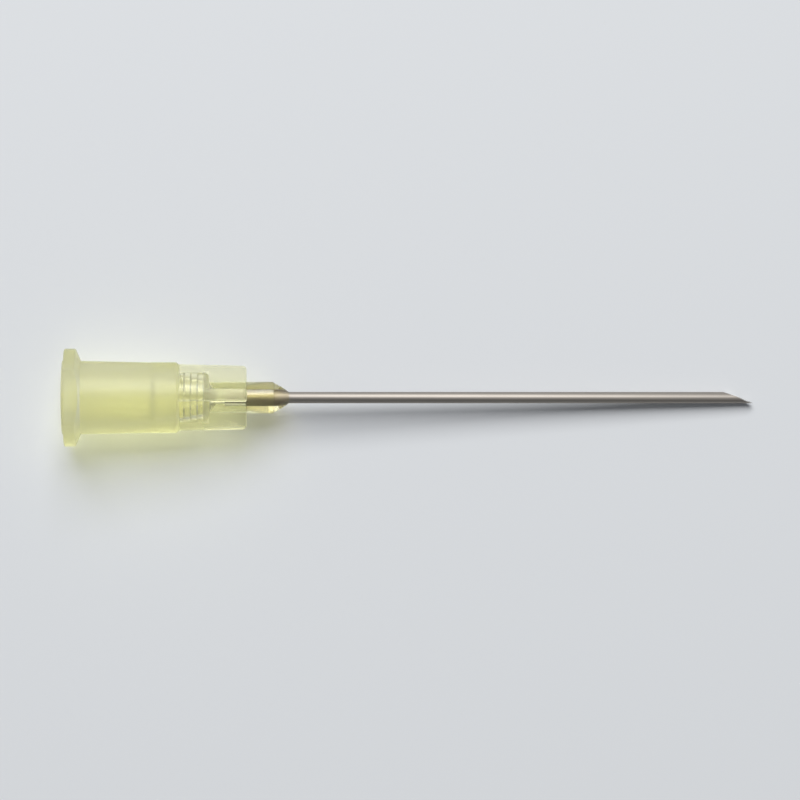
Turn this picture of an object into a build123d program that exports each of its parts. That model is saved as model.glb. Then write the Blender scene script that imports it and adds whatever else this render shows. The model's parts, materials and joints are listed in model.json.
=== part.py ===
# A hypodermic needle, 20 gauge by 38 mm, lying at rest: a moulded hub, a ground steel cannula and the
# drop of adhesive that holds them together.
# Sizes are millimetres and degrees. Names ending in "at" are places on the axis, from the hub's rim.
import os
from math import atan2, cos, hypot, radians, sin, tan

from build123d import *

# Luer socket, open at the rim
socket_mouth = 4.28
socket_taper = 0.06
socket_depth = 7.0
socket_lead_in = 0.15

# Chamber behind the socket: rings in the neck, with slanted steps, lead it down to a funnel and the passage
chamber_diameter = 3.3
ring_diameters = (3.1, 2.9, 2.7)
first_ring_at = 9.5
ring_pitch = 0.52
ring_step_length = 0.12
funnel_length = 1.0
passage_diameter = 0.7
passage_length = 0.7

# Flange: a disc with two flats, which leave a locking lug on each side
lug_span = 7.7
lug_flats = 6.4
lug_setback = 0.16
lug_crest = 0.9
lug_slant = 23
lug_edge_round = 0.12

# Barrel, with a collar that a protective cap grips
barrel_rear_diameter = 5.84
barrel_front_diameter = 5.54
rim_round = 0.1
collar_diameter = 5.57
collar_at = 7.0
collar_length = 2.2
collar_chamfer = 0.22

# Neck and nose tube
neck_rear_diameter = 4.12
neck_front_diameter = 3.97
neck_length = 2.35
neck_round = 0.45
nose_diameter = 2.5
nose_length = 5.1
nose_round = 0.06

# Fins in a cross on the neck and the nose tube, turned a little from the lugs
fin_count = 4
fin_turn = 6
fin_length = 5.3
fin_rear_reach = 2.6
fin_front_reach = 2.48
fin_rear_thickness = 1.02
fin_front_thickness = 0.9
fin_corner_round = 0.32
fin_edge_round = 0.1

# Cannula and its ground point
cannula_diameter = 0.9
cannula_bore = 0.59
exposed_length = 38.1
seat_clearance = 0.01
bevel_length = 2.4
bevel_angle = 19
facet_angle = 27
facet_turn = 30

# Adhesive: it fills a well in the nose tube and stands round the cannula as a small cone
well_depth = 2.2
well_floor_diameter = 1.3
well_mouth_diameter = 2.0
bead_diameter = 2.34
bead_length = 1.2
bead_swell = 0.05

# Places along the axis
crest_end_at = lug_setback + lug_crest
collar_end_at = collar_at + collar_length
neck_end_at = collar_end_at + neck_length
nose_end_at = neck_end_at + nose_length
fins_at = collar_end_at - collar_chamfer
fins_end_at = collar_end_at + fin_length
funnel_at = first_ring_at + len(ring_diameters) * ring_pitch
passage_at = funnel_at + funnel_length
seat_at = passage_at + passage_length
well_at = nose_end_at - well_depth
point_at = nose_end_at + exposed_length
heel_at = point_at - bevel_length

# The bore: a shoulder at 45 degrees leads from the socket to the chamber
socket_end_radius = (socket_mouth - socket_taper * socket_depth) / 2
shoulder_end_at = socket_depth + socket_end_radius - chamber_diameter / 2
cannula_radius = cannula_diameter / 2
seat_radius = cannula_radius + seat_clearance

# Lying down, the needle touches the ground with the cannula's point and with the hub's flat or collar,
# whichever is reached first
lug_slope = tan(radians(lug_slant))
facet_run = (cos(radians(facet_turn)) + sin(radians(facet_turn))) / tan(radians(facet_angle))
point_rest_at = point_at - cannula_radius * facet_run
flat_rest_at = crest_end_at + (lug_span - lug_flats) / 2 * lug_slope
hub_rests = [(flat_rest_at, lug_flats / 2), (fins_at, collar_diameter / 2)]
nose_down = max(atan2(reach - cannula_radius, point_rest_at - at) for at, reach in hub_rests)
rim_height = point_rest_at * sin(nose_down) + cannula_radius * cos(nose_down)
rim_back = (point_at * cos(nose_down) - barrel_rear_diameter / 2 * sin(nose_down)) / 2

# The rim's plane has its normal along the needle and its x to the side that the bevel faces.
# The upright plane holds the outlines that are turned about the axis.
rim = Plane(
    origin=(-rim_back, 0, rim_height),
    x_dir=(0, 1, 0),
    z_dir=(cos(nose_down), 0, -sin(nose_down)),
)
upright = Plane(origin=rim.origin, x_dir=rim.z_dir, z_dir=(0, -1, 0))
needle_axis = Axis(rim.origin, rim.z_dir)


def corner(sketch, at, diameter):
    """The corner of an upright outline at a place on the axis and a diameter."""
    return sketch.vertices().sort_by_distance((at, diameter / 2))[0]


def off_axis(edge):
    """The distance of an edge's middle from the needle's axis."""
    middle = rim.to_local_coords(edge @ 0.5)
    return hypot(middle.X, middle.Y)


os.makedirs("parts", exist_ok=True)

# The flange's disc, slanted at the front and cut by the flats
with BuildPart() as flange:
    with BuildSketch(upright):
        with BuildLine():
            Polyline(
                (lug_setback, 0),
                (lug_setback, lug_span / 2),
                (crest_end_at, lug_span / 2),
                (crest_end_at + lug_span / 2 * lug_slope, 0),
                close=True,
            )
        make_face()
    revolve(axis=needle_axis)
    with BuildSketch(rim):
        Rectangle(lug_span, lug_flats)
    extrude(amount=neck_end_at, mode=Mode.INTERSECT)
    fillet(flange.edges(), lug_edge_round)

# The upper fin, cut from its side view and its thinning top view, with rounded outer edges
with BuildPart() as fin:
    fin_side = upright.moved(Rot(-fin_turn, 0, 0))
    with BuildSketch(fin_side) as side_view:
        with BuildLine():
            Polyline(
                (fins_at, 0),
                (fins_at, fin_rear_reach),
                (fins_end_at, fin_front_reach),
                (fins_end_at, 0),
                close=True,
            )
        make_face()
        fillet(corner(side_view, fins_end_at, 2 * fin_front_reach), fin_corner_round)
    extrude(amount=fin_rear_thickness, both=True)
    with BuildSketch(fin_side.moved(Rot(90, 0, 0))):
        with BuildLine():
            Polyline(
                (fins_at, -fin_rear_thickness / 2),
                (fins_at, fin_rear_thickness / 2),
                (fins_end_at, fin_front_thickness / 2),
                (fins_end_at, -fin_front_thickness / 2),
                close=True,
            )
        make_face()
    extrude(amount=fin_rear_reach, both=True, mode=Mode.INTERSECT)
    fillet(fin.edges().filter_by(lambda edge: off_axis(edge) > fin_rear_thickness), fin_edge_round)

# Hub
with BuildPart() as hub:
    # Barrel, collar, neck and nose tube
    with BuildSketch(upright) as outline:
        with BuildLine():
            Polyline(
                (0, 0),
                (0, barrel_rear_diameter / 2),
                (collar_at, barrel_front_diameter / 2),
                (collar_at, collar_diameter / 2),
                (collar_end_at, collar_diameter / 2),
                (collar_end_at, neck_rear_diameter / 2),
                (neck_end_at, neck_front_diameter / 2),
                (neck_end_at, nose_diameter / 2),
                (nose_end_at, nose_diameter / 2),
                (nose_end_at, 0),
                close=True,
            )
        make_face()
        fillet(corner(outline, 0, barrel_rear_diameter), rim_round)
        chamfer(corner(outline, collar_end_at, collar_diameter), collar_chamfer)
        fillet(corner(outline, neck_end_at, neck_front_diameter), neck_round)
        fillet(corner(outline, nose_end_at, nose_diameter), nose_round)
    revolve(axis=needle_axis)
    add(flange.part)
    for n in range(fin_count):
        add(fin.part.rotate(needle_axis, n * 360 / fin_count))

    # Socket, chamber with its rings, funnel, passage, cannula seat and adhesive well
    with BuildSketch(upright):
        bore = [
            (0, 0),
            (0, socket_mouth / 2 + socket_lead_in),
            (socket_lead_in, (socket_mouth - socket_taper * socket_lead_in) / 2),
            (socket_depth, socket_end_radius),
            (shoulder_end_at, chamber_diameter / 2),
        ]
        for n, (wide, narrow) in enumerate(zip((chamber_diameter, *ring_diameters), ring_diameters)):
            ring_at = first_ring_at + n * ring_pitch
            bore += [(ring_at, wide / 2), (ring_at + ring_step_length, narrow / 2)]
        bore += [
            (funnel_at, ring_diameters[-1] / 2),
            (passage_at, passage_diameter / 2),
            (seat_at, passage_diameter / 2),
            (seat_at, seat_radius),
            (well_at, seat_radius),
            (well_at, well_floor_diameter / 2),
            (nose_end_at, well_mouth_diameter / 2),
            (nose_end_at, 0),
        ]
        with BuildLine():
            Polyline(*bore, close=True)
        make_face()
    revolve(axis=needle_axis, mode=Mode.SUBTRACT)

hub.part.label = "hub"
export_step(hub.part, "parts/hub.step")

# Cannula: a tube whose point has one long bevel and a facet ground on each side of it
with BuildPart() as cannula:
    with BuildSketch(rim.offset(seat_at)):
        Circle(cannula_radius)
        Circle(cannula_bore / 2, mode=Mode.SUBTRACT)
    extrude(amount=point_at - seat_at)
    heel = rim.moved(Location((cannula_radius, 0, heel_at)))
    point = rim.moved(Location((-cannula_radius, 0, point_at)))
    split(bisect_by=heel.moved(Rot(0, 90 - bevel_angle, 0)), keep=Keep.BOTTOM)
    for turn in (facet_turn, -facet_turn):
        facet = point.moved(Rot(0, 0, turn)).moved(Rot(0, 90 - facet_angle, 0))
        split(bisect_by=facet, keep=Keep.BOTTOM)

cannula.part.label = "cannula"
export_step(cannula.part, "parts/cannula.step")

# Adhesive
with BuildPart() as adhesive:
    with BuildSketch(upright):
        with BuildLine():
            bead_foot = (nose_end_at, bead_diameter / 2)
            bead_top = (nose_end_at + bead_length, cannula_radius)
            SagittaArc(bead_foot, bead_top, bead_swell)
            Polyline(
                bead_top,
                (well_at, cannula_radius),
                (well_at, well_floor_diameter / 2),
                (nose_end_at, well_mouth_diameter / 2),
                bead_foot,
            )
        make_face()
    revolve(axis=needle_axis)

adhesive.part.label = "adhesive"
export_step(adhesive.part, "parts/adhesive.step")
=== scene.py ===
import json
import math

import bmesh
import bpy
from mathutils import Matrix, Vector


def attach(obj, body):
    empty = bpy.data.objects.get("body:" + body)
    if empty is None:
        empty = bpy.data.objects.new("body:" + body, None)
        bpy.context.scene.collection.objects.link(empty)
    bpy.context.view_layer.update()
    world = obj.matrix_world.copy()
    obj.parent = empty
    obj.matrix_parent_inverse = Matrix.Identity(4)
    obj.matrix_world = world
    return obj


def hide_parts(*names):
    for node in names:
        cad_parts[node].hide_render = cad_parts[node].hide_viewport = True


# A hypodermic needle lying on its side: a moulded translucent hub, a ground steel cannula and the drop of
# clear adhesive between them. The pieces are shaped in millimetres, with z from the hub's rim towards the
# point, x to the side that the bevel faces and y upwards, and are then put in the frame's place.
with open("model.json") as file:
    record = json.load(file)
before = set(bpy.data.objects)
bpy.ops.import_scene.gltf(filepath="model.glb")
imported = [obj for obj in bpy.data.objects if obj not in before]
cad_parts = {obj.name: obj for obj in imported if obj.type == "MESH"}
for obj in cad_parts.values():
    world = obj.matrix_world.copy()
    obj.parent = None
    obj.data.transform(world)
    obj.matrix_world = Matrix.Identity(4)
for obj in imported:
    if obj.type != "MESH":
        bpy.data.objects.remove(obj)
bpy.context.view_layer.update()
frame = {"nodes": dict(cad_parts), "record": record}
mm = 0.001
mountOf = {m["name"]: m for m in frame["record"]["mounts"]}
sizeOf = {name: m["dims"] for name, m in mountOf.items()}
rimCentre = Vector(mountOf["luer_socket"]["pos_m"])
alongNeedle = -Vector(mountOf["luer_socket"]["axis"]).normalized()
acrossNeedle = Vector((0, 1, 0))
needleTurn = Matrix((acrossNeedle, alongNeedle.cross(acrossNeedle), alongNeedle)).transposed()
needlePlace = Matrix.Translation(rimCentre) @ needleTurn.to_4x4() @ Matrix.Scale(mm, 4)
print("frame loaded:", ", ".join(sorted(frame["nodes"])))


# Stage, light and camera

stage = {
    "floorSide": 1.2,
    "floorColour": (0.74, 0.76, 0.78, 1),
    "floorRoughness": 0.6,
    "worldColour": (0.16, 0.165, 0.175, 1),
    "keySide": 0.75,
    "keyDistance": 1.1,
    "keyElevation": 50,  # degrees, from the side that the bevel faces
    "keyShift": -0.1,  # along x, as a share of the distance
    "keyPower": 13.6,
}

photoView = {
    "imageSide": 800,  # pixels
    "pixelsPerMetre": 12700,  # at the height of the hub's axis
    "height": 0.275,
    "centre": (-0.00066, -0.00019),
    "sensorWidth": 36,  # mm
    "clip": (0.01, 10),
}


def lookAt(place, target):
    return (Vector(target) - Vector(place)).to_track_quat("-Z", "Y").to_euler()


def makeStage():
    side = stage["floorSide"] / 2
    floorMesh = bpy.data.meshes.new("floor")
    floorMesh.from_pydata(
        [(-side, -side, 0), (side, -side, 0), (side, side, 0), (-side, side, 0)], [], [(0, 1, 2, 3)]
    )
    floor = bpy.data.objects.new("floor", floorMesh)
    bpy.context.scene.collection.objects.link(floor)
    floorPaint = bpy.data.materials.new("floorPaint")
    floorPaint.use_nodes = True
    shader = floorPaint.node_tree.nodes["Principled BSDF"]
    shader.inputs["Base Color"].default_value = stage["floorColour"]
    shader.inputs["Roughness"].default_value = stage["floorRoughness"]
    floorMesh.materials.append(floorPaint)

    world = bpy.data.worlds.new("studio")
    world.use_nodes = True
    world.node_tree.nodes["Background"].inputs["Color"].default_value = stage["worldColour"]
    bpy.context.scene.world = world

    rise = math.radians(stage["keyElevation"])
    keyData = bpy.data.lights.new("keyLight", "AREA")
    keyData.size = stage["keySide"]
    keyData.energy = stage["keyPower"]
    key = bpy.data.objects.new("keyLight", keyData)
    key.location = stage["keyDistance"] * Vector((stage["keyShift"], math.cos(rise), math.sin(rise)))
    key.rotation_euler = lookAt(key.location, (0, 0, 0))
    bpy.context.scene.collection.objects.link(key)


def makeCamera():
    cameraData = bpy.data.cameras.new("camera")
    cameraData.sensor_width = photoView["sensorWidth"]
    focalPixels = photoView["pixelsPerMetre"] * (photoView["height"] - rimCentre.z)
    cameraData.lens = focalPixels * photoView["sensorWidth"] / photoView["imageSide"]
    cameraData.clip_start, cameraData.clip_end = photoView["clip"]
    camera = bpy.data.objects.new("camera", cameraData)
    camera.location = (*photoView["centre"], photoView["height"])
    bpy.context.scene.collection.objects.link(camera)
    bpy.context.scene.camera = camera


makeStage()
makeCamera()
scene = bpy.context.scene
scene.view_settings.view_transform = "Standard"
scene.cycles.max_bounces = 32  # light crosses many thin walls and wanders in the milky plastic
scene.cycles.transmission_bounces = 24
scene.cycles.volume_bounces = 16
print("stage, light and camera made")


# Helpers for geometry and shader trees

latheRadius = 1  # mm, of the circle that a profile is swept round
arcStep = 15  # degrees, at most


def feed(tree, socket, value):
    if isinstance(value, bpy.types.NodeSocket):
        tree.links.new(value, socket)
    else:
        socket.default_value = value


def addNode(tree, kind, inputs=None, **settings):
    # settings come first, because they can change which sockets a node has
    node = tree.nodes.new(kind)
    for name, value in settings.items():
        setattr(node, name, value)
    for name, value in (inputs or {}).items():
        feed(tree, node.inputs[name], value)
    return node


def addMath(tree, operation, *values):
    return addNode(tree, "ShaderNodeMath", dict(enumerate(values)), operation=operation).outputs[0]


def addRadius(tree, place):
    # the parts of a place, its share across the axis, and that share's length
    parts = addNode(tree, "ShaderNodeSeparateXYZ", {"Vector": place}).outputs
    level = addNode(tree, "ShaderNodeCombineXYZ", {"X": parts["X"], "Y": parts["Y"]}).outputs["Vector"]
    radius = addNode(tree, "ShaderNodeVectorMath", {0: level}, operation="LENGTH").outputs["Value"]
    return parts, level, radius


def startTree(name, sockets):
    tree = bpy.data.node_groups.new(name, "GeometryNodeTree")
    for label, kind in {"Geometry": "Geometry", "Sides": "Int", **sockets, "Material": "Material"}.items():
        tree.interface.new_socket(label, in_out="INPUT", socket_type="NodeSocket" + kind)
    tree.interface.new_socket("Geometry", in_out="OUTPUT", socket_type="NodeSocketGeometry")
    return tree, addNode(tree, "NodeGroupInput").outputs


def addLathe(tree, given):
    circle = {"Resolution": given["Sides"], "Radius": latheRadius}
    circle = addNode(tree, "GeometryNodeCurvePrimitiveCircle", circle)
    profile = addNode(tree, "GeometryNodeMeshToCurve", {"Mesh": given["Geometry"]})
    swept = {"Curve": circle.outputs["Curve"], "Profile Curve": profile.outputs["Curve"]}
    return addNode(tree, "GeometryNodeCurveToMesh", swept).outputs["Mesh"]


def endTree(tree, given, geometry):
    real = addNode(tree, "GeometryNodeRealizeInstances", {"Geometry": geometry}).outputs["Geometry"]
    painted = addNode(tree, "GeometryNodeSetMaterial", {"Geometry": real, "Material": given["Material"]})
    addNode(tree, "NodeGroupOutput", {"Geometry": painted.outputs["Geometry"]})
    return painted.outputs["Geometry"]


def roundedLoop(corners):
    # corners are (along, out, rounding), and a rounded one becomes an arc
    loop = []
    for n, (along, out, rounding) in enumerate(corners):
        here = Vector((along, out))
        if not rounding:
            loop.append(here)
            continue
        back = (Vector(corners[n - 1][:2]) - here).normalized()
        ahead = (Vector(corners[(n + 1) % len(corners)][:2]) - here).normalized()
        half = back.angle(ahead) / 2
        centre = here + (back + ahead).normalized() * rounding / math.sin(half)
        first = (here + back * rounding / math.tan(half) - centre).normalized()
        last = (here + ahead * rounding / math.tan(half) - centre).normalized()
        steps = math.ceil(math.degrees(first.angle(last)) / arcStep)
        loop += [centre + rounding * first.slerp(last, k / steps) for k in range(steps + 1)]
    return loop


def latheProfile(name, loop):
    # its x is measured from the circle, and it runs backwards outside, so that the faces point outwards
    mesh = bpy.data.meshes.new(name)
    edges = [(n, (n + 1) % len(loop)) for n in range(len(loop))]
    mesh.from_pydata([(out - latheRadius, -along, 0) for along, out in reversed(loop)], edges, [])
    return mesh


def shape(name, mesh, tree, values):
    piece = bpy.data.objects.new(name, mesh)
    bpy.context.scene.collection.objects.link(piece)
    maker = piece.modifiers.new("maker", "NODES")
    maker.node_group = tree
    for item in tree.interface.items_tree:
        if item.in_out == "INPUT" and item.name in values:
            maker[item.identifier] = values[item.name]
    return piece


def settle(piece, edgeAngle):
    graph = bpy.context.evaluated_depsgraph_get()
    mesh = bpy.data.meshes.new_from_object(piece.evaluated_get(graph))
    piece.modifiers.clear()
    piece.data = mesh
    if mesh.materials[0] is None:
        mesh.materials.pop(index=0)
    mesh.transform(needlePlace)
    mesh.shade_smooth()
    mesh.set_sharp_from_angle(angle=math.radians(edgeAngle))
    print(piece.name, "has", len(mesh.polygons), "faces")


def addPlace(tree):
    # the place on the surface, in millimetres along the needle's own directions
    place = {
        "Vector": addNode(tree, "ShaderNodeTexCoord").outputs["Object"],
        "Location": rimCentre,
        "Rotation": needleTurn.to_euler(),
        "Scale": (mm, mm, mm),
    }
    return addNode(tree, "ShaderNodeMapping", place, vector_type="TEXTURE").outputs["Vector"]


# Marks that the finishes share: a fine noise, drawn out along the needle's own directions

marksNoise = {"Scale": 1, "Detail": 4, "Roughness": 0.55}
evenly = (1, 1, 1)


def makeMarks():
    group = bpy.data.node_groups.new("surfaceMarks", "ShaderNodeTree")
    for label, kind in {"Size": "Float", "Stretch": "Vector", "Contrast": "Float"}.items():
        group.interface.new_socket(label, in_out="INPUT", socket_type="NodeSocket" + kind)
    group.interface.new_socket("Marks", in_out="OUTPUT", socket_type="NodeSocketFloat")
    given = addNode(group, "NodeGroupInput").outputs
    drawn = {0: addPlace(group), 1: given["Stretch"]}
    drawn = addNode(group, "ShaderNodeVectorMath", drawn, operation="DIVIDE").outputs[0]
    sized = {0: drawn, "Scale": addMath(group, "DIVIDE", 1, given["Size"])}
    sized = addNode(group, "ShaderNodeVectorMath", sized, operation="SCALE").outputs[0]
    noise = addNode(group, "ShaderNodeTexNoise", {"Vector": sized, **marksNoise}).outputs["Fac"]
    spread = addMath(group, "SUBTRACT", noise, 0.5)
    spread = addMath(group, "MULTIPLY_ADD", spread, given["Contrast"], 0.5)
    marks = addNode(group, "ShaderNodeClamp", {"Value": spread}).outputs[0]
    addNode(group, "NodeGroupOutput", {"Marks": marks})
    return group


surfaceMarks = makeMarks()


def addMarks(tree, size, stretch, contrast):
    values = {"Size": size, "Stretch": stretch, "Contrast": contrast}
    return addNode(tree, "ShaderNodeGroup", node_tree=surfaceMarks, inputs=values).outputs["Marks"]


def addBetween(tree, factor, low, high):
    between = {"Value": factor, "To Min": low, "To Max": high}
    return addNode(tree, "ShaderNodeMapRange", between).outputs["Result"]


def addShare(tree, factor, first, second):
    share = {"Factor": factor, "A": first, "B": second}
    return addNode(tree, "ShaderNodeMix", share, data_type="FLOAT").outputs["Result"]


def addBlend(tree, factor, first, second):
    # a Mix node keeps sockets of every type, so the coloured ones are found by identifier
    blend = addNode(tree, "ShaderNodeMix", {"Factor": factor}, data_type="RGBA")
    colours = {"A_Color": first, "B_Color": second}
    for socket in blend.inputs:
        if socket.identifier in colours:
            socket.default_value = colours[socket.identifier]
    return next(socket for socket in blend.outputs if socket.identifier == "Result_Color")


def addBump(tree, height, depth, strength):
    bump = {"Height": height, "Distance": depth, "Strength": strength}
    return addNode(tree, "ShaderNodeBump", bump).outputs["Normal"]


def newPaint(name, values):
    paint = bpy.data.materials.new(name)
    paint.use_nodes = True
    shader = paint.node_tree.nodes["Principled BSDF"]
    for socket, value in values.items():
        shader.inputs[socket].default_value = value
    return paint, paint.node_tree, shader


def letLampsThrough(tree, shader, colour):
    # each surface passes a lamp's light with this colour, so that what it holds and covers isn't dark
    ray = addNode(tree, "ShaderNodeLightPath").outputs["Is Shadow Ray"]
    through = addNode(tree, "ShaderNodeBsdfTransparent", {"Color": colour})
    pick = addNode(tree, "ShaderNodeMixShader", {0: ray, 1: shader.outputs[0], 2: through.outputs[0]})
    feed(tree, tree.nodes["Material Output"].inputs["Surface"], pick.outputs[0])


# Hub

hubForm = {
    "sides": 192,
    "mouthEdgeRadius": 2.29,
    "mouthRadius": 2.1355,
    "mouthEdge": 0.15,
    "socketEndRadius": 1.93,
    "chamberRadius": 1.65,
    "ringRadii": (1.55, 1.45, 1.35),
    "firstRing": 9.5,
    "ringPitch": 0.52,
    "ringStep": 0.12,
    "funnelLength": 1.0,
    "passageRadius": 0.35,
    "passageLength": 0.7,
    "seatRadius": 0.46,
    "wellDepth": 2.2,
    "wellFloorRadius": 0.65,
    "wellMouthRadius": 1.0,
    "rimRadius": 2.92,
    "barrelEndRadius": 2.77,
    "collar": 7.0,
    "collarLength": 2.2,
    "collarChamfer": 0.22,
    "neckRadius": 2.06,
    "neckEndRadius": 1.985,
    "neckLength": 2.35,
    "noseRadius": 1.25,
    "noseLength": 5.1,
    "lugRadius": 3.85,
    "lugFlats": 6.4,
    "lugStart": 0.16,
    "lugCrest": 0.9,
    "lugSlant": 23,  # degrees
    "rounds": {"rim": 0.1, "lug": 0.12, "collar": 0.05, "neck": 0.45, "nose": 0.06, "root": 0.04},
    "edgeAngle": 32,
}

finForm = {
    "count": 4,
    "turn": -6,  # degrees
    "length": 5.3,
    "rearReach": 2.6,
    "frontReach": 2.48,
    "rearThickness": 1.02,
    "frontThickness": 0.9,
    "cornerRound": 0.32,
    "edgeRound": 0.1,
    "edgeSteps": 5,
    "root": ((0.8, 0), (0.95, -2.9), (1.85, -3.3)),  # inside the wall: (out, along from the front)
}

hubLook = {
    "colour": (0.965, 0.955, 0.81, 1),
    "streakColour": (0.945, 0.935, 0.75, 1),
    "ior": 1.49,
    "mattRoughness": (0.44, 0.52),  # on the flange, the barrel, the neck's front and the fins' outer edges
    "neckRoughness": (0.12, 0.17),
    "edgeRoughness": (0.22, 0.28),  # where those edges run along the neck
    "edgeBlend": 0.5,  # mm on each side of the neck's end, over which they turn matt
    "edgeWidth": 0.06,  # mm
    "clearRoughness": (0.05, 0.09),  # on the fins' sides and the nose tube
    "finishBlend": 0.05,  # mm on each side, over which one finish goes into the next
    "cloudSize": 1.6,
    "cloudStretch": (1, 1, 2),
    "cloudContrast": 1.6,
    "streakSize": 0.5,
    "streakStretch": (1, 1, 9),
    "streakContrast": 2,
    "absorbColour": (0.95, 0.95, 0.45, 1),
    "absorbDensity": 140,  # per metre, as the scatter
    "scatterColour": (1, 1, 1, 1),
    "scatterDensity": 220,
    "scatterForward": 0.4,
    "shadowColour": (0.74, 0.74, 0.64, 1),
    "grainSize": 0.08,
    "grainContrast": 1.5,
    "grainDepth": 0.004 * mm,
    "grainStrength": 0.5,
}

# places along the axis
hubForm["collarEnd"] = hubForm["collar"] + hubForm["collarLength"]
hubForm["neckEnd"] = hubForm["collarEnd"] + hubForm["neckLength"]
hubForm["noseEnd"] = hubForm["neckEnd"] + hubForm["noseLength"]
hubForm["well"] = hubForm["noseEnd"] - hubForm["wellDepth"]
hubForm["funnel"] = hubForm["firstRing"] + len(hubForm["ringRadii"]) * hubForm["ringPitch"]
hubForm["passage"] = hubForm["funnel"] + hubForm["funnelLength"]
hubForm["seat"] = hubForm["passage"] + hubForm["passageLength"]


def barrelRadius(along):
    growth = hubForm["barrelEndRadius"] - hubForm["rimRadius"]
    return hubForm["rimRadius"] + growth * along / hubForm["collar"]


def hubOutside():
    form, rounds = hubForm, hubForm["rounds"]
    slope = math.tan(math.radians(form["lugSlant"]))
    crestEnd = form["lugStart"] + form["lugCrest"]
    taper = (form["rimRadius"] - form["barrelEndRadius"]) / form["collar"]
    rootRadius = (barrelRadius(crestEnd) - taper * slope * form["lugRadius"]) / (1 - taper * slope)
    collarRadius = sizeOf["cap_seat"]["r_mm"]
    return [
        (0, form["mouthEdgeRadius"], 0),
        (0, form["rimRadius"], rounds["rim"]),
        (form["lugStart"], barrelRadius(form["lugStart"]), 0),
        (form["lugStart"], form["lugRadius"], rounds["lug"]),
        (crestEnd, form["lugRadius"], rounds["lug"]),
        (crestEnd + (form["lugRadius"] - rootRadius) * slope, rootRadius, 0),
        (form["collar"], form["barrelEndRadius"], 0),
        (form["collar"], collarRadius, 0),
        (form["collarEnd"] - form["collarChamfer"], collarRadius, rounds["collar"]),
        (form["collarEnd"], collarRadius - form["collarChamfer"], rounds["collar"]),
        (form["collarEnd"], form["neckRadius"], rounds["root"]),
        (form["neckEnd"], form["neckEndRadius"], rounds["neck"]),
        (form["neckEnd"], form["noseRadius"], rounds["root"]),
        (form["noseEnd"], form["noseRadius"], rounds["nose"]),
    ]


def hubInside():
    form = hubForm
    bore = [(form["mouthEdge"], form["mouthRadius"], 0), (form["collar"], form["socketEndRadius"], 0)]
    bore.append((form["collar"] + form["socketEndRadius"] - form["chamberRadius"], form["chamberRadius"], 0))
    steps = [form["chamberRadius"], *form["ringRadii"]]
    for n in range(len(form["ringRadii"])):
        ring = form["firstRing"] + n * form["ringPitch"]
        bore += [(ring, steps[n], 0), (ring + form["ringStep"], steps[n + 1], 0)]
    bore += [
        (form["funnel"], steps[-1], 0),
        (form["passage"], form["passageRadius"], 0),
        (form["seat"], form["passageRadius"], 0),
        (form["seat"], form["seatRadius"], 0),
        (form["well"], form["seatRadius"], 0),
        (form["well"], form["wellFloorRadius"], 0),
        (form["noseEnd"], form["wellMouthRadius"], 0),
    ]
    return list(reversed(bore))


def finShape():
    form = finForm
    rear = hubForm["collarEnd"] - hubForm["collarChamfer"]
    front = hubForm["collarEnd"] + form["length"]
    rings, points = [], []
    levels = [(side, k) for side in (-1, 1) for k in range(form["edgeSteps"] + 1)[::side]]
    for side, k in levels:
        swing = math.radians(90 * k / form["edgeSteps"])
        inset = form["edgeRound"] * (1 - math.cos(swing))
        corners = [
            (rear, form["rearReach"] - inset, 0),
            (front - inset, form["frontReach"] - inset, form["cornerRound"] - inset),
            *((front - inset + back, out, 0) for out, back in form["root"]),
            (rear, form["root"][-1][0], 0),
        ]
        ring = roundedLoop(corners)
        for along, out in ring:
            part = (along - rear) / (front - rear)
            half = (form["rearThickness"] + (form["frontThickness"] - form["rearThickness"]) * part) / 2
            height = half - form["edgeRound"] * (1 - math.sin(swing))
            points.append((out, side * height, along))
        rings.append(range(len(points) - len(ring), len(points)))
    faces = [tuple(rings[0]), tuple(rings[-1])]
    for low, high in zip(rings, rings[1:]):
        count = len(low)
        faces += [(low[n], low[(n + 1) % count], high[(n + 1) % count], high[n]) for n in range(count)]
    mesh = bpy.data.meshes.new("fin")
    mesh.from_pydata(points, [], faces)
    body = bmesh.new()
    body.from_mesh(mesh)
    bmesh.ops.recalc_face_normals(body, faces=body.faces)
    body.to_mesh(mesh)
    body.free()
    return bpy.data.objects.new("fin", mesh)


def addLugs(tree, given, geometry):
    # beyond the flats the flange is drawn in, and its slanted front slides along its own cone
    position = addNode(tree, "GeometryNodeInputPosition").outputs["Position"]
    parts, level, radius = addRadius(tree, position)
    halfFlats = addMath(tree, "DIVIDE", given["Lug Flats"], 2)
    height = addMath(tree, "ABSOLUTE", parts["Y"])
    toFlat = addMath(tree, "DIVIDE", addMath(tree, "MULTIPLY", halfFlats, radius), height)
    drop = addMath(tree, "MAXIMUM", addMath(tree, "SUBTRACT", given["Lug Radius"], toFlat), 0)
    drop = addMath(tree, "MULTIPLY", drop, addMath(tree, "GREATER_THAN", radius, halfFlats))
    inFront = addMath(tree, "GREATER_THAN", parts["Z"], given["Lug Middle"])
    forward = addMath(tree, "MULTIPLY", addMath(tree, "MULTIPLY", drop, inFront), given["Lug Slope"])
    shrink = addMath(tree, "DIVIDE", addMath(tree, "MULTIPLY", drop, -1), radius)
    inward = addNode(tree, "ShaderNodeVectorMath", {0: level, "Scale": shrink}, operation="SCALE").outputs[0]
    ahead = addNode(tree, "ShaderNodeCombineXYZ", {"Z": forward}).outputs["Vector"]
    move = addNode(tree, "ShaderNodeVectorMath", {0: inward, 1: ahead}, operation="ADD").outputs[0]
    moved = addNode(tree, "GeometryNodeSetPosition", {"Geometry": geometry, "Offset": move})
    return moved.outputs["Geometry"]


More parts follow.
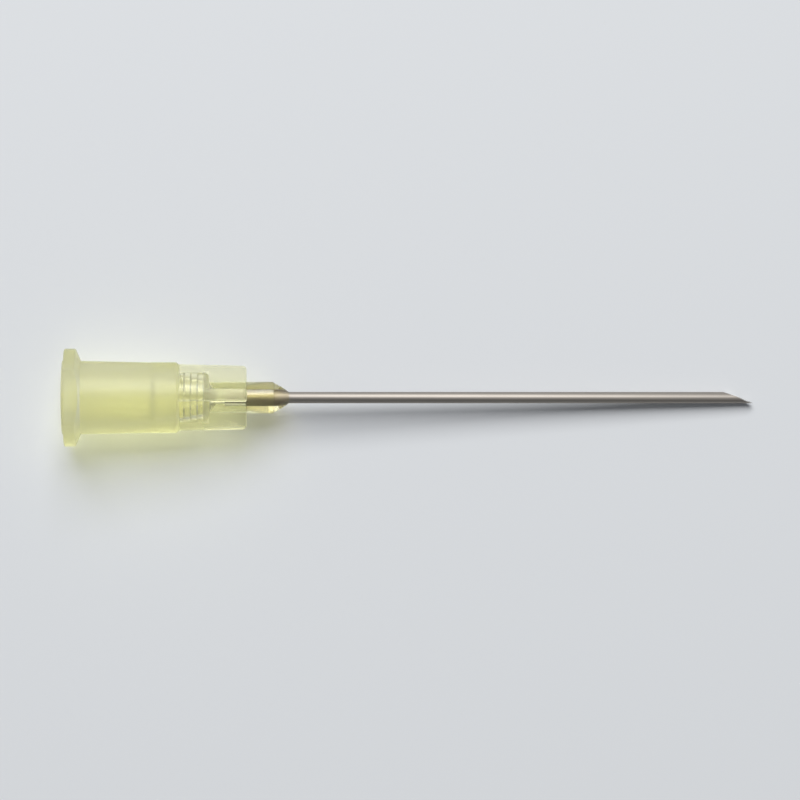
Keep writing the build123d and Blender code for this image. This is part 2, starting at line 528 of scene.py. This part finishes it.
def addFins(tree, given, geometry):
    fin = addNode(tree, "GeometryNodeObjectInfo", {"Object": given["Fin"]}).outputs["Geometry"]
    index = addNode(tree, "GeometryNodeInputIndex").outputs["Index"]
    share = addMath(tree, "DIVIDE", index, given["Fin Count"])
    swing = addMath(tree, "MULTIPLY_ADD", share, math.tau, given["Fin Turn"])
    turn = addNode(tree, "ShaderNodeCombineXYZ", {"Z": swing}).outputs["Vector"]
    spots = addNode(tree, "GeometryNodePoints", {"Count": given["Fin Count"]}).outputs[0]
    around = {"Points": spots, "Instance": fin, "Rotation": turn}
    around = addNode(tree, "GeometryNodeInstanceOnPoints", around).outputs["Instances"]
    fins = addNode(tree, "GeometryNodeRealizeInstances", {"Geometry": around})
    joined = addNode(tree, "GeometryNodeMeshBoolean", operation="UNION", solver="EXACT")
    for solid in (geometry, fins.outputs["Geometry"]):
        feed(tree, joined.inputs[1], solid)
    return joined.outputs["Mesh"]


def hubTree():
    sockets = dict.fromkeys(("Lug Radius", "Lug Flats", "Lug Middle", "Lug Slope", "Fin Turn"), "Float")
    tree, given = startTree("finnedHub", {**sockets, "Fin": "Object", "Fin Count": "Int"})
    endTree(tree, given, addFins(tree, given, addLugs(tree, given, addLathe(tree, given))))
    return tree


def addRamp(tree, value, start, end):
    # 0 below the start and 1 above the end
    ramp = {"Value": value, "From Min": start, "From Max": end}
    return addNode(tree, "ShaderNodeMapRange", ramp).outputs["Result"]


def addStep(tree, value, edge):
    return addRamp(tree, value, edge - hubLook["finishBlend"], edge + hubLook["finishBlend"])


def finEdges(tree, along, radius):
    # 1 on the fins' outer and front edges
    reach = finForm["frontReach"] - hubLook["edgeWidth"]
    front = hubForm["collarEnd"] + finForm["length"] - hubLook["edgeWidth"]
    offNose = addStep(tree, radius, hubForm["noseRadius"] + hubLook["finishBlend"])
    atFront = addMath(tree, "MULTIPLY", addStep(tree, along, front), offNose)
    return addMath(tree, "MAXIMUM", addStep(tree, radius, reach), atFront)


def hubRoughness(tree):
    form, look = hubForm, hubLook
    parts, _, radius = addRadius(tree, addPlace(tree))
    along = parts["Z"]
    clouds = addMarks(tree, look["cloudSize"], look["cloudStretch"], look["cloudContrast"])
    names = ("matt", "neck", "edge", "clear")
    finish = {name: addBetween(tree, clouds, *look[name + "Roughness"]) for name in names}

    # the neck, with its matt front
    neckFront = addStep(tree, along, form["neckEnd"] - form["rounds"]["neck"])
    neck = addShare(tree, neckFront, finish["neck"], finish["matt"])

    # the fins, with their outer edges, and the nose tube
    turned = addRamp(tree, along, form["neckEnd"] - look["edgeBlend"], form["neckEnd"] + look["edgeBlend"])
    edge = addShare(tree, turned, finish["edge"], finish["matt"])
    fins = addShare(tree, finEdges(tree, along, radius), finish["clear"], edge)
    offNeck = addStep(tree, radius, form["neckRadius"] + look["finishBlend"])
    finOrNose = addMath(tree, "MAXIMUM", offNeck, addStep(tree, along, form["neckEnd"]))

    front = addShare(tree, finOrNose, neck, fins)
    return addShare(tree, addStep(tree, along, form["collarEnd"]), finish["matt"], front)


def hubPlastic():
    look = hubLook
    paint, tree, shader = newPaint("hubPlastic", {"IOR": look["ior"], "Transmission Weight": 1})
    feed(tree, shader.inputs["Roughness"], hubRoughness(tree))
    streaks = addMarks(tree, look["streakSize"], look["streakStretch"], look["streakContrast"])
    feed(tree, shader.inputs["Base Color"], addBlend(tree, streaks, look["colour"], look["streakColour"]))
    grain = addMarks(tree, look["grainSize"], evenly, look["grainContrast"])
    feed(tree, shader.inputs["Normal"], addBump(tree, grain, look["grainDepth"], look["grainStrength"]))

    # yellow by its depth, and milky
    dye = {"Color": look["absorbColour"], "Density": look["absorbDensity"]}
    dye = addNode(tree, "ShaderNodeVolumeAbsorption", dye).outputs["Volume"]
    milk = {"Color": look["scatterColour"], "Density": look["scatterDensity"]}
    milk["Anisotropy"] = look["scatterForward"]
    milk = addNode(tree, "ShaderNodeVolumeScatter", milk).outputs["Volume"]
    both = addNode(tree, "ShaderNodeAddShader", {0: dye, 1: milk}).outputs[0]
    feed(tree, tree.nodes["Material Output"].inputs["Volume"], both)
    letLampsThrough(tree, shader, look["shadowColour"])
    return paint


def makeHub():
    fin = finShape()
    values = {
        "Sides": hubForm["sides"],
        "Lug Radius": hubForm["lugRadius"],
        "Lug Flats": hubForm["lugFlats"],
        "Lug Middle": hubForm["lugStart"] + hubForm["lugCrest"] / 2,
        "Lug Slope": math.tan(math.radians(hubForm["lugSlant"])),
        "Fin": fin,
        "Fin Count": finForm["count"],
        "Fin Turn": math.radians(finForm["turn"]),
        "Material": hubPlastic(),
    }
    profile = latheProfile("hubProfile", roundedLoop(hubOutside() + hubInside()))
    hub = shape("mouldedHub", profile, hubTree(), values)
    settle(hub, hubForm["edgeAngle"])
    bpy.data.objects.remove(fin)
    return hub


hub = makeHub()
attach(hub, "root")
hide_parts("hub")


# Cannula

cannulaForm = {
    "sides": 96,
    "exposedLength": 38.1,
    "bevelLength": 2.4,
    "bevelAngle": 19,  # degrees to the axis, as the facets' angle
    "facetAngle": 27,
    "facetTurn": 30,
    "cutterSize": 8,
    "groundFacing": 0.1,  # the forward share of a face's normal, above which the face is ground
    "edgeBreak": 0.012,
    "edgeSegments": 2,
    "edgeAngle": 25,
}

steelLook = {
    "drawnColours": ((0.32, 0.292, 0.26, 1), (0.43, 0.398, 0.358, 1)),
    "drawnRoughness": (0.50, 0.60),
    "drawnMarks": (0.03, (1, 1, 400)),  # their size and how far they are drawn out across, up and along
    "groundColours": ((0.46, 0.44, 0.41, 1), (0.60, 0.58, 0.55, 1)),
    "groundRoughness": (0.22, 0.36),
    "groundMarks": (0.02, (1, 40, 1)),
    "lineContrast": 1.8,
    "lineDepth": 0.001 * mm,
    "lineStrength": 0.4,
    "cloudMarks": (0.5, (1, 1, 12)),
    "cloudContrast": 1.5,
    "cloudShare": 0.5,  # of the roughness, and the lines have the rest
}


def addCutter(tree, size, place, turn):
    cube = addNode(tree, "GeometryNodeMeshCube", {"Size": (size, size, size)}).outputs["Mesh"]
    raised = {"Geometry": cube, "Translation": (0, 0, size / 2)}
    raised = addNode(tree, "GeometryNodeTransform", raised).outputs["Geometry"]
    laid = {"Geometry": raised, "Translation": place, "Rotation": turn}
    return addNode(tree, "GeometryNodeTransform", laid).outputs["Geometry"]


def cannulaTree():
    labels = ("Radius", "Heel", "Point", "Bevel Tilt", "Facet Tilt", "Facet Turn")
    tree, given = startTree("groundTube", {**dict.fromkeys(labels, "Float"), "Ground": "Material"})
    tube = addLathe(tree, given)
    heel = addNode(tree, "ShaderNodeCombineXYZ", {"X": given["Radius"], "Z": given["Heel"]}).outputs[0]
    farSide = addMath(tree, "MULTIPLY", given["Radius"], -1)
    point = addNode(tree, "ShaderNodeCombineXYZ", {"X": farSide, "Z": given["Point"]}).outputs[0]
    ground = addNode(tree, "GeometryNodeMeshBoolean", {0: tube}, operation="DIFFERENCE", solver="EXACT")
    turn = addNode(tree, "ShaderNodeCombineXYZ", {"Y": given["Bevel Tilt"]}).outputs[0]
    feed(tree, ground.inputs[1], addCutter(tree, cannulaForm["cutterSize"], heel, turn))
    for side in (-1, 1):
        swing = addMath(tree, "MULTIPLY", given["Facet Turn"], side)
        turn = addNode(tree, "ShaderNodeCombineXYZ", {"Y": given["Facet Tilt"], "Z": swing}).outputs[0]
        feed(tree, ground.inputs[1], addCutter(tree, cannulaForm["cutterSize"], point, turn))
    painted = endTree(tree, given, ground.outputs["Mesh"])

    # the ground faces are the ones that look forwards
    normal = addNode(tree, "GeometryNodeInputNormal").outputs["Normal"]
    forward = addNode(tree, "ShaderNodeSeparateXYZ", {"Vector": normal}).outputs["Z"]
    isGround = addMath(tree, "GREATER_THAN", forward, cannulaForm["groundFacing"])
    finished = {"Geometry": painted, "Selection": isGround, "Material": given["Ground"]}
    finished = addNode(tree, "GeometryNodeSetMaterial", finished).outputs["Geometry"]
    feed(tree, tree.nodes["Group Output"].inputs["Geometry"], finished)
    return tree


def steelPaint(name, colours, roughness, marks):
    look = steelLook
    paint, tree, shader = newPaint(name, {"Metallic": 1})
    lines = addMarks(tree, *marks, look["lineContrast"])
    clouds = addMarks(tree, *look["cloudMarks"], look["cloudContrast"])
    feed(tree, shader.inputs["Base Color"], addBlend(tree, lines, *colours))
    mixed = addShare(tree, look["cloudShare"], lines, clouds)
    feed(tree, shader.inputs["Roughness"], addBetween(tree, mixed, *roughness))
    feed(tree, shader.inputs["Normal"], addBump(tree, lines, look["lineDepth"], look["lineStrength"]))
    return paint


def makeCannula():
    radius, bore = sizeOf["cannula_shaft"]["r_mm"], sizeOf["lumen"]["r_mm"]
    point = hubForm["noseEnd"] + cannulaForm["exposedLength"]
    look = steelLook
    values = {
        "Sides": cannulaForm["sides"],
        "Radius": radius,
        "Heel": point - cannulaForm["bevelLength"],
        "Point": point,
        "Bevel Tilt": math.radians(90 - cannulaForm["bevelAngle"]),
        "Facet Tilt": math.radians(90 - cannulaForm["facetAngle"]),
        "Facet Turn": math.radians(cannulaForm["facetTurn"]),
    }
    for socket, kind in {"Material": "drawn", "Ground": "ground"}.items():
        finish = (look[kind + "Colours"], look[kind + "Roughness"], look[kind + "Marks"])
        values[socket] = steelPaint(kind + "Steel", *finish)
    start = hubForm["seat"]
    loop = [(start, bore), (start, radius), (point, radius), (point, bore)]
    cannula = shape("groundCannula", latheProfile("cannulaProfile", loop), cannulaTree(), values)
    edges = cannula.modifiers.new("edgeBreak", "BEVEL")
    edges.width = cannulaForm["edgeBreak"]
    edges.segments = cannulaForm["edgeSegments"]
    edges.limit_method = "ANGLE"
    edges.angle_limit = math.radians(cannulaForm["edgeAngle"])
    settle(cannula, cannulaForm["edgeAngle"])
    return cannula


cannula = makeCannula()
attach(cannula, "root")
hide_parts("cannula")


# Adhesive

glueForm = {
    "sides": 96,
    "footRadius": 1.17,
    "length": 1.2,
    "swell": 0.05,
    "bond": 0.01,  # how far it reaches into the plastic and the steel, so that no air shows
    "domeSteps": 12,
    "edgeAngle": 40,
}

glueLook = {
    "colour": (0.97, 0.93, 0.78, 1),
    "duskColour": (0.92, 0.85, 0.62, 1),
    "ior": 1.5,
    "roughness": (0.03, 0.08),
    "waveSize": 0.7,
    "waveContrast": 1.6,
    "waveDepth": 0.02 * mm,
    "waveStrength": 0.3,
    "shadowColour": (0.92, 0.90, 0.82, 1),
}


def glueLoop():
    form, bond = glueForm, glueForm["bond"]
    inner = sizeOf["cannula_shaft"]["r_mm"] - bond
    wellFloor, wellMouth = hubForm["well"] - bond, hubForm["noseEnd"] - bond
    loop = [(wellFloor, inner), (wellFloor, hubForm["wellFloorRadius"] + bond)]
    loop.append((wellMouth, hubForm["wellMouthRadius"] + bond))
    foot = Vector((wellMouth, form["footRadius"]))
    run = Vector((hubForm["noseEnd"] + form["length"], inner)) - foot
    outward = Vector((-run.y, run.x)).normalized()
    for n in range(form["domeSteps"] + 1):
        part = n / form["domeSteps"]
        loop.append(foot + run * part + outward * 4 * form["swell"] * part * (1 - part))
    return loop


def clearGlue():
    look = glueLook
    paint, tree, shader = newPaint("clearGlue", {"IOR": look["ior"], "Transmission Weight": 1})
    waves = addMarks(tree, look["waveSize"], evenly, look["waveContrast"])
    feed(tree, shader.inputs["Base Color"], addBlend(tree, waves, look["colour"], look["duskColour"]))
    feed(tree, shader.inputs["Roughness"], addBetween(tree, waves, *look["roughness"]))
    feed(tree, shader.inputs["Normal"], addBump(tree, waves, look["waveDepth"], look["waveStrength"]))
    letLampsThrough(tree, shader, look["shadowColour"])
    return paint


def makeGlue():
    tree, given = startTree("turnedDrop", {})
    endTree(tree, given, addLathe(tree, given))
    values = {"Sides": glueForm["sides"], "Material": clearGlue()}
    glue = shape("adhesiveDrop", latheProfile("glueProfile", glueLoop()), tree, values)
    settle(glue, glueForm["edgeAngle"])
    return glue


glue = makeGlue()
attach(glue, "root")
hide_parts("adhesive")
